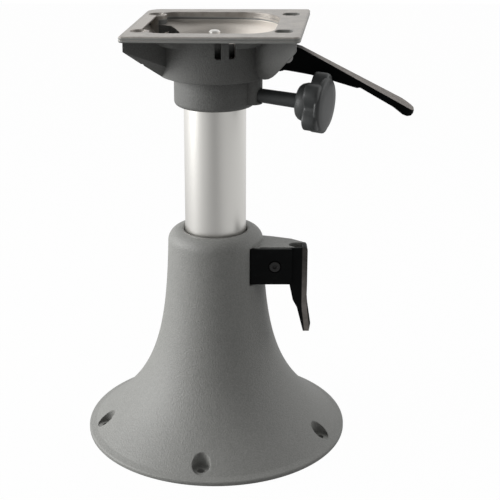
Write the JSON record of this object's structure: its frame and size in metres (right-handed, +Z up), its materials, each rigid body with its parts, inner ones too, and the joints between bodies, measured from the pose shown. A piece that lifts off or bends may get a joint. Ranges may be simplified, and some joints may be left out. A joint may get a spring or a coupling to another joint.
{
  "type": "boat seat pedestal",
  "caption": "Sliding and swivelling boat seat pedestal: bell base, aluminium column, lock lever, seat plate with release lever and tension knob.",
  "frame": {"origin": "on the floor, at the centre of the bell base, on the column's axis", "axes": "+Z up along the column, +X towards the levers, -Y towards the front in the picture"},
  "size_m": [0.3388, 0.2782, 0.4406],
  "materials": {
    "textured_coat": "fine textured grey powder coat on cast aluminium",
    "satin_aluminium": "satin anodised",
    "steel": "turned and drawn stainless steel",
    "black_paint": "satin black paint",
    "black_plastic": "moulded dark plastic",
    "nylon": "natural nylon"
  },
  "bodies": {
    "base": {"bell_base": "textured_coat", "lower_slide_bush": "nylon", "upper_slide_bush": "nylon", "lock_plate": "black_paint"},
    "lock_handle": {"lock_lever": "black_paint", "lever_shaft": "steel", "lever_shaft_nut": "steel", "brake_cam": "steel"},
    "plunger": {"brake_plunger": "satin_aluminium", "brake_pad": "nylon"},
    "column": {"column_tube": "satin_aluminium", "tube_end_stop": "black_plastic", "swivel_spindle": "satin_aluminium", "spindle_washer": "steel", "spindle_nut": "steel"},
    "head": {"seat_mount": "textured_coat", "swivel_bush": "nylon", "thrust_washer": "nylon", "release_pivot_pin": "steel", "front_pin_clip": "steel", "rear_pin_clip": "steel", "brake_spring": "steel"},
    "knob": {"tension_knob": "black_plastic", "knob_stud": "steel"},
    "release_handle": {"release_lever": "black_paint", "release_link_pin": "steel"},
    "swivel_brake": {"brake_pin": "steel", "brake_pin_pad": "nylon"}
  },
  "joints": [
    {"name": "lock_lever_turn", "type": "hinge", "parent": "base", "child": "lock_handle", "pos_m": [0.0613, 0, 0.1932], "axis": [0, -1, 0], "range_deg": [0, 75]},
    {"name": "brake_plunger_slide", "type": "slide", "parent": "base", "child": "plunger", "axis": [1, 0, 0], "range_m": [0, 0.0016]},
    {"name": "column_slide", "type": "slide", "parent": "base", "child": "column", "axis": [0, 0, 1], "range_m": [-0.05, 0.0575]},
    {"name": "head_swivel", "type": "hinge", "parent": "column", "child": "head", "pos_m": [0, 0, 0.3595], "axis": [0, 0, 1], "continuous": true},
    {"name": "knob_turn", "type": "hinge", "parent": "head", "child": "knob", "pos_m": [0, 0, 0.3733], "axis": [0.9192, -0.3902, -0.0523], "range_deg": [0, 720]},
    {"name": "release_lever_lift", "type": "hinge", "parent": "head", "child": "release_handle", "pos_m": [0.07352, -0.00838, 0.4095], "axis": [-0.1132, -0.9936, 0], "range_deg": [0, 18], "stiffness_Nm_per_rad": 0.6, "springref_deg": -11.46},
    {"name": "brake_pin_slide", "type": "slide", "parent": "head", "child": "swivel_brake", "axis": [0.9936, -0.1132, 0], "range_m": [0, 0.0042], "deforming": ["brake_spring"]}
  ],
  "couplings": [
    {"joint": "brake_plunger_slide", "follows": "lock_lever_turn", "m_per_rad": 0.0011459},
    {"joint": "brake_pin_slide", "follows": "release_lever_lift", "m_per_rad": 0.01287}
  ]
}
